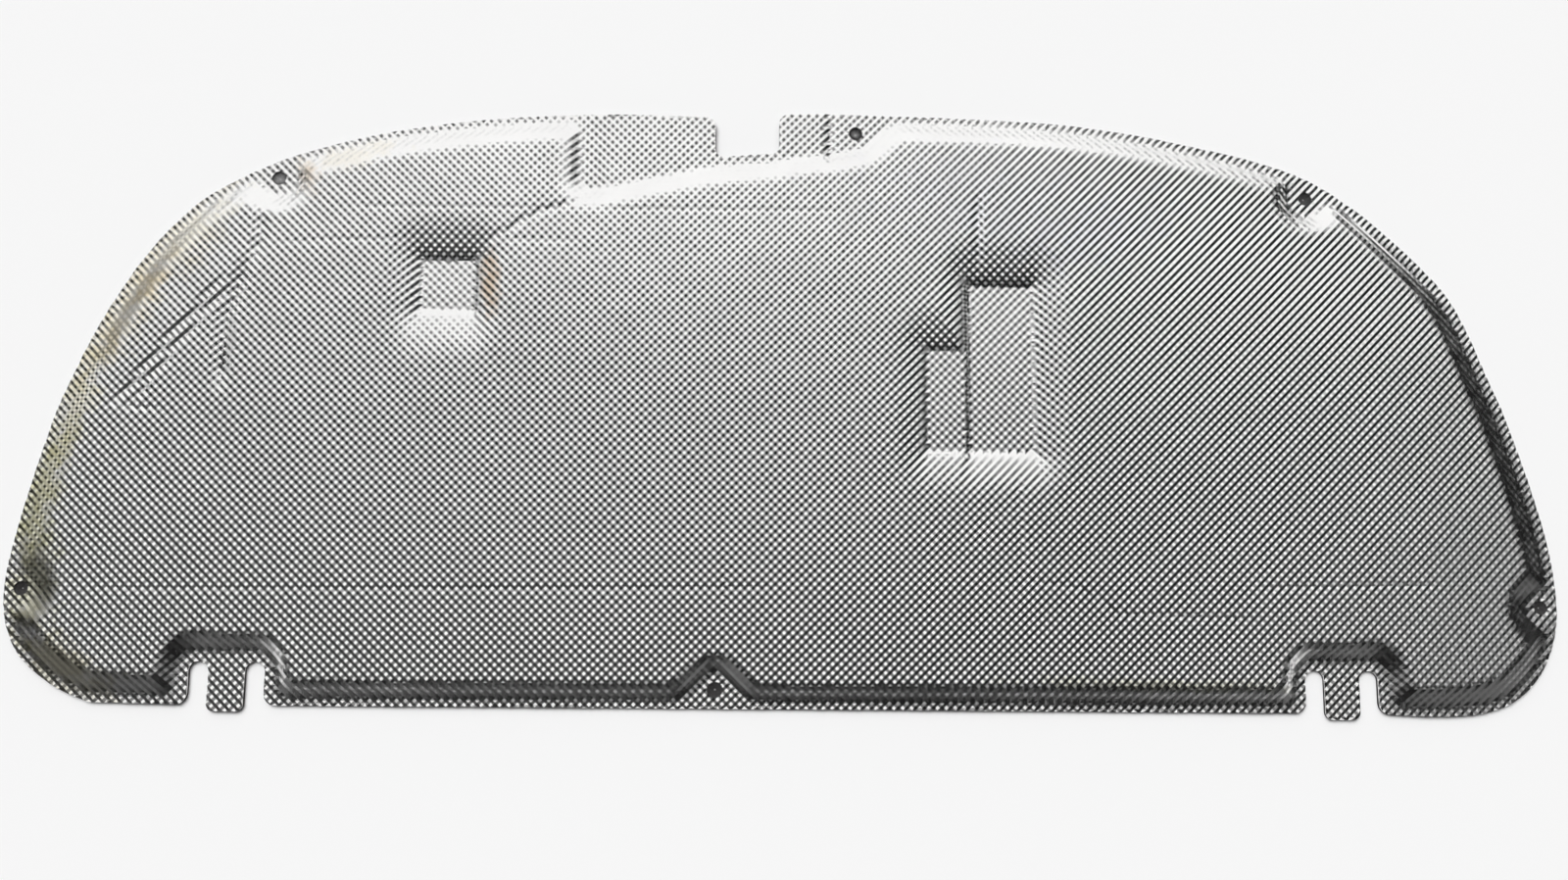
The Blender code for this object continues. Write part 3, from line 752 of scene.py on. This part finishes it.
def foil_material():
    """Bright aluminium foil with fine crinkles and a few stains."""
    material, nodes, shader, place = new_material("foil")
    link = material.node_tree.links.new
    blotch = nodes.noise(place, 18.0, 3.0)
    base = nodes.mix(nodes.spread(blotch, 0.3, 0.7), FOIL_DARK, FOIL_LIGHT)
    shader.inputs["Metallic"].default_value = 1.0
    fine = nodes.noise(place, 90.0, 3.0)
    link(nodes.spread(fine, 0.25, 0.75, *FOIL_ROUGHNESS), shader.inputs["Roughness"])
    for middle, half_sizes, turn, tint, strength in STAINS:
        mask = stain_mask(nodes, place, middle, half_sizes, turn)
        base = nodes.tinted(nodes.math("MULTIPLY", mask, strength), base, (*tint, 1.0))
    link(base, shader.inputs["Base Color"])
    crinkle = nodes.noise(place, 700.0, 3.0, 0.6)
    link(nodes.bump(crinkle, *CRINKLE_BUMP), shader.inputs["Normal"])
    return material


def felt_material():
    """Dark pressed fibre felt, with painted shaded floor in three clip holes."""
    material, nodes, shader, place = new_material("felt")
    link = material.node_tree.links.new
    fibres = nodes.noise(place, 900.0, 4.0, 0.7)
    blotch = nodes.noise(place, 40.0, 2.0)
    dark = nodes.mix(nodes.spread(fibres, 0.3, 0.7), FIBRE_DARK, FIBRE_LIGHT)
    base = nodes.mix(nodes.spread(blotch, 0.3, 0.7, 0.0, 0.4), dark, FELT_BLOTCH)
    # Grey spots on the felt plugs in three clip holes: painted shaded floor, in place of the floor
    # seen in shade through the holes.
    for x, y, radius, level in HOLE_FLOOR_SHADE_SPOTS:
        mask = stain_mask(nodes, place, (x, y), (radius, radius), 0.0)
        base = nodes.mix(mask, base, grey(level))
    link(base, shader.inputs["Base Color"])
    shader.inputs["Roughness"].default_value = FELT_ROUGHNESS
    shader.inputs["Specular IOR Level"].default_value = FELT_GLOSS
    link(nodes.bump(fibres, *FIBRE_BUMP), shader.inputs["Normal"])
    return material


def floor_material():
    """Plain pale floor."""
    material, _, shader, _ = new_material("floor")
    shader.inputs["Base Color"].default_value = grey(FLOOR_LEVEL)
    shader.inputs["Roughness"].default_value = FLOOR_ROUGHNESS
    shader.inputs["Specular IOR Level"].default_value = FLOOR_GLOSS
    return material


def add_floor(group):
    """Pale floor under the pad."""
    mesh = bmesh.new()
    bmesh.ops.create_grid(mesh, x_segments=1, y_segments=1, size=FLOOR_HALF)
    floor = new_piece("floor", mesh, floor_material(), group)
    floor.location.z = -FLOOR_DROP


def add_fill(group):
    """Far soft light for the floor and the felt, which the foil doesn't mirror."""
    data = bpy.data.lights.new("fill", "SUN")
    data.energy = FILL_STRENGTH
    data.angle = FILL_SPREAD
    light = bpy.data.objects.new("fill", data)
    light.rotation_euler = towards(*FILL_PLACE).to_track_quat("Z", "Y").to_euler()
    light.visible_glossy = False
    group.objects.link(light)


def towards(azimuth, elevation):
    """Direction of an azimuth, counted from +Y towards +X, and an elevation."""
    level = math.cos(elevation)
    return Vector((math.sin(azimuth) * level, math.cos(azimuth) * level, math.sin(elevation)))


def set_world():
    """Soft studio: one broad glow beyond the latch edge, dimmer at the rear, pale low down."""
    world = bpy.data.worlds.new("surroundings")
    bpy.context.scene.world = world
    world.use_nodes = True
    nodes = Nodes(world.node_tree)
    direction = nodes.add("ShaderNodeTexCoord").outputs["Generated"]
    narrowed = nodes.vector("MULTIPLY", direction, (1.0 / GLOW_WIDTH, 1.0, 1.0))
    nearness = nodes.nearness(nodes.vector("NORMALIZE", narrowed), towards(*GLOW_PLACE))
    parts = nodes.add("ShaderNodeSeparateXYZ", {0: direction}).outputs
    ended = nodes.spread(parts["X"], *GLOW_END)
    colour = nodes.mix(ended, nodes.levels(nearness, GLOW_LEVELS), grey(GLOW_REST))
    dim = nodes.spread(nodes.nearness(direction, towards(*DIM_PLACE)), *DIM_RANGE)
    colour = nodes.mix(dim, colour, grey(DIM_LEVEL), "LIGHTEN")
    rear = nodes.spread(nodes.nearness(direction, (0.0, -1.0, 0.0)), *REAR_FROM)
    colour = nodes.mix(rear, colour, nodes.levels(parts["Z"], REAR_LEVELS), "LIGHTEN")
    aside = nodes.spread(nodes.math("ABSOLUTE", parts["X"], 0.0), *CORNER_FROM)
    corner = nodes.math("MULTIPLY", rear, aside)
    colour = nodes.mix(corner, colour, nodes.levels(parts["Z"], CORNER_LEVELS), "LIGHTEN")
    low = nodes.spread(parts["Z"], *HORIZON_BAND, 1.0, 0.0)
    colour = nodes.mix(low, colour, grey(PALE_LEVEL), "LIGHTEN")
    world.node_tree.links.new(colour, world.node_tree.nodes["Background"].inputs["Color"])


def add_camera(group):
    """Camera at the photograph's place."""
    data = bpy.data.cameras.new("camera")
    data.lens = CAMERA_LENS
    data.sensor_width = CAMERA_SENSOR
    camera = bpy.data.objects.new("camera", data)
    camera.location = CAMERA_PLACE
    camera.rotation_euler = CAMERA_TURN
    group.objects.link(camera)
    bpy.context.scene.camera = camera


def build(frame):
    """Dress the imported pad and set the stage."""
    studio = own_collection("studio")
    add_camera(studio)
    pad = frame["nodes"][PAD_NODE]
    cad = merged_copy(pad)
    loops = rim_loops(cad)
    looks = own_collection("looks")
    skin = foil_mesh(cad, loops)
    felt = new_piece("felt_body", felt_mesh(cad, loops, skin), felt_material(), looks)
    foil = new_piece("foil_face", skin, foil_material(), looks)
    cad.free()
    for piece, slot in ((foil, "foil"), (felt, "felt")):
        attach(piece, "root")
    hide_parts(PAD_NODE)
    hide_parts(PAD_NODE)
    add_floor(studio)
    add_fill(studio)
    set_world()
    bpy.context.scene.view_settings.view_transform = "Standard"


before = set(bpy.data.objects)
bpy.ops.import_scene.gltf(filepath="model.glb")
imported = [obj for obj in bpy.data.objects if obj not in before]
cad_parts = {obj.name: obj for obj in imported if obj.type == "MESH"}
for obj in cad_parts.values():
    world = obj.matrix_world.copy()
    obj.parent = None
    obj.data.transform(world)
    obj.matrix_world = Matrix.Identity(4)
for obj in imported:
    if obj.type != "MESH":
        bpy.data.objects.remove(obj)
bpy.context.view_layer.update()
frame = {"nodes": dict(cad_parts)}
build(frame)
